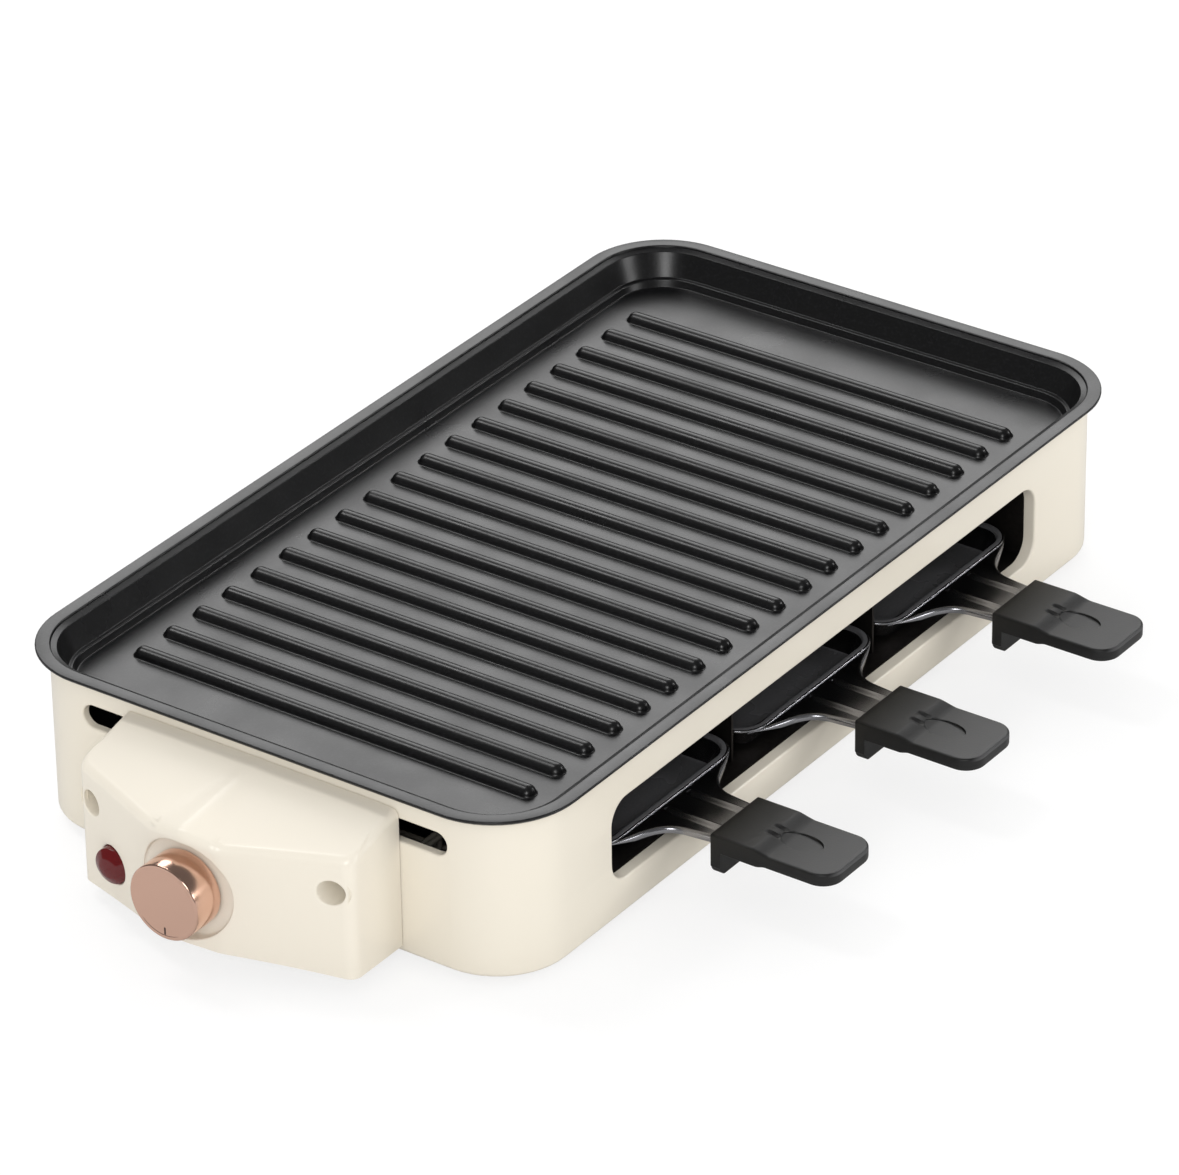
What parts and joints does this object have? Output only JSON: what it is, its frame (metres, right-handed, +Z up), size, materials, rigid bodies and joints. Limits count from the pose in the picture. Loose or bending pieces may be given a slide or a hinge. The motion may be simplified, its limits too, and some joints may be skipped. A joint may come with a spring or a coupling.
{
  "type": "electric table grill",
  "caption": "Table-top electric grill: ribbed lift-off plate on a cream enamelled housing, small sliding pans below it, side control box with knob and lamp.",
  "frame": {"origin": "middle of the bounding box at table level", "axes": "+X along the plate away from the control box, -Y the side the pans come out of, +Z up"},
  "size_m": [0.5078, 0.3282, 0.0786],
  "materials": {
    "plate_coating": "matt non-stick coating on cast aluminium",
    "enamel": "glossy cream enamel on steel",
    "galvanised": "plain galvanised sheet",
    "rubber_foot": "matt black rubber",
    "zinc_screw": "bright zinc",
    "bay_sheet": "aluminised sheet",
    "element_tube": "heat-darkened steel tube",
    "ceramic_bush": "white steatite",
    "terminal_metal": "nickel-plated",
    "pan_coating": "satin black non-stick coating on steel",
    "handle_plastic": "matt black phenolic",
    "box_plastic": "satin cream plastic",
    "box_floor_plastic": "matt cream plastic",
    "thermostat_case": "unglazed ceramic and steel",
    "knob_metal": "polished rose-gold anodising",
    "knob_core": "black plastic",
    "shaft_metal": "turned steel",
    "lens_red": "clear dark red plastic",
    "socket_plastic": "white plastic",
    "bulb_glass": "clear glass",
    "inlet_plastic": "black plastic",
    "pin_brass": "nickel-plated brass",
    "block_plastic": "white plastic",
    "wire_sleeve": "white silicone sleeve",
    "fuse_sleeve": "glass-fibre and ceramic"
  },
  "bodies": {
    "base": {"housing": "enamel", "base_plate": "galvanised", "foot_screws": "zinc_screw", "base_screws": "zinc_screw", "pan_bay": "bay_sheet", "bay_rail_left": "bay_sheet", "bay_rail_right": "bay_sheet", "divider_left": "bay_sheet", "divider_right": "bay_sheet", "pan_stops": "bay_sheet", "element_rests": "bay_sheet", "heating_element": "element_tube", "element_insulators": "ceramic_bush", "element_terminals": "terminal_metal", "control_box": "box_plastic", "control_box_floor": "box_floor_plastic", "box_screws": "zinc_screw", "thermostat": "thermostat_case", "thermostat_bracket": "galvanised", "bracket_screws": "zinc_screw", "thermostat_nut": "zinc_screw", "lamp_lens": "lens_red", "lamp_socket": "socket_plastic", "lamp_bulb": "bulb_glass", "power_inlet": "inlet_plastic", "inlet_pins": "pin_brass", "terminal_block": "block_plastic", "wire_grommet": "rubber_foot", "inlet_wires": "wire_sleeve", "mains_wires": "wire_sleeve", "element_wire": "wire_sleeve", "lamp_wires": "wire_sleeve", "thermal_fuse": "fuse_sleeve", "foot_front_left": "rubber_foot", "foot_front_right": "rubber_foot", "foot_back_left": "rubber_foot", "foot_back_right": "rubber_foot"},
    "plate": {"grill_plate": "plate_coating"},
    "knob": {"knob_cap": "knob_metal", "knob_hub": "knob_core", "thermostat_shaft": "shaft_metal"},
    "pan_left_body": {"pan_left": "pan_coating", "handle_left": "handle_plastic", "handle_screws_left": "zinc_screw"},
    "pan_centre_body": {"pan_centre": "pan_coating", "handle_centre": "handle_plastic", "handle_screws_centre": "zinc_screw"},
    "pan_right_body": {"pan_right": "pan_coating", "handle_right": "handle_plastic", "handle_screws_right": "zinc_screw"}
  },
  "joints": [
    {"name": "plate_lift", "type": "slide", "parent": "base", "child": "plate", "axis": [0, 0, 1], "range_m": [0, 0.06]},
    {"name": "knob_turn", "type": "hinge", "parent": "base", "child": "knob", "pos_m": [-0.23865, 0.0363, 0.0366], "axis": [1, 0, 0], "range_deg": [0, 270]},
    {"name": "pan_left_slide", "type": "slide", "parent": "base", "child": "pan_left_body", "axis": [0, -1, 0], "range_m": [0, 0.165]},
    {"name": "pan_centre_slide", "type": "slide", "parent": "base", "child": "pan_centre_body", "axis": [0, -1, 0], "range_m": [0, 0.165]},
    {"name": "pan_right_slide", "type": "slide", "parent": "base", "child": "pan_right_body", "axis": [0, -1, 0], "range_m": [0, 0.165]}
  ]
}
